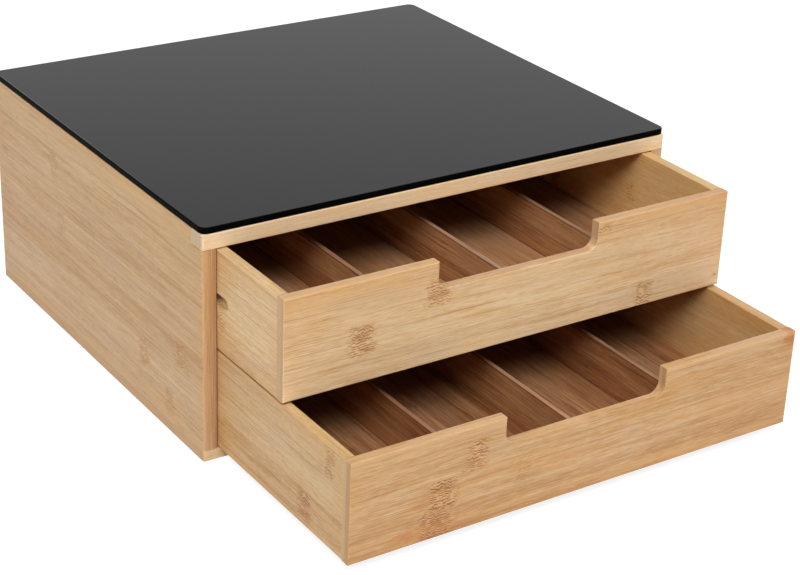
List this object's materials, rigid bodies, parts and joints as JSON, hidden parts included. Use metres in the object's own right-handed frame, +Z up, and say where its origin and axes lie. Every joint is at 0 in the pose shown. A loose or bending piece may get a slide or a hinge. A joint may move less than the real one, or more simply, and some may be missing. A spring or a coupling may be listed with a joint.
{
  "type": "coffee capsule drawer",
  "caption": "Bamboo drawer box for coffee capsules under a black glass top; stacked drawers with dividers and finger notches slide out of its open front.",
  "frame": {"origin": "middle of the case's underside, on the surface it stands on", "axes": "+Z up, -Y towards the drawer fronts, +X to the right of someone facing the drawers"},
  "size_m": [0.34, 0.447, 0.1525],
  "materials": {
    "bamboo": "satin varnish, pale laminated bamboo",
    "bamboo_brown": "satin varnish, brown bamboo",
    "black_glass": "polished, opaque black",
    "clear_silicone": "clear silicone dots",
    "beech": "raw dowel",
    "zinc_steel": "zinc plated"
  },
  "bodies": {
    "case": {"glass_top": "black_glass", "glass_dots": "clear_silicone", "top_panel": "bamboo", "top_front_rail": "bamboo", "top_back_rail": "bamboo", "left_side_panel": "bamboo", "right_side_panel": "bamboo", "bottom_board": "bamboo", "back_panel": "bamboo", "left_runner": "bamboo", "right_runner": "bamboo", "runner_screws": "zinc_steel", "rail_pins": "beech", "bottom_screws": "zinc_steel", "back_nails": "zinc_steel"},
    "upper_drawer": {"upper_drawer_front": "bamboo", "upper_drawer_left_side": "bamboo", "upper_drawer_right_side": "bamboo", "upper_drawer_back": "bamboo", "upper_drawer_floor": "bamboo_brown", "upper_drawer_divider_left": "bamboo_brown", "upper_drawer_divider_centre": "bamboo_brown", "upper_drawer_divider_right": "bamboo_brown", "upper_drawer_dowels": "beech"},
    "lower_drawer": {"lower_drawer_front": "bamboo", "lower_drawer_left_side": "bamboo", "lower_drawer_right_side": "bamboo", "lower_drawer_back": "bamboo", "lower_drawer_floor": "bamboo_brown", "lower_drawer_divider_left": "bamboo_brown", "lower_drawer_divider_centre": "bamboo_brown", "lower_drawer_divider_right": "bamboo_brown", "lower_drawer_dowels": "beech"}
  },
  "joints": [
    {"name": "upper_drawer_slide", "type": "slide", "parent": "case", "child": "upper_drawer", "axis": [0, -1, 0], "range_m": [-0.075, 0.085]},
    {"name": "lower_drawer_slide", "type": "slide", "parent": "case", "child": "lower_drawer", "axis": [0, -1, 0], "range_m": [-0.147, 0.053]}
  ]
}
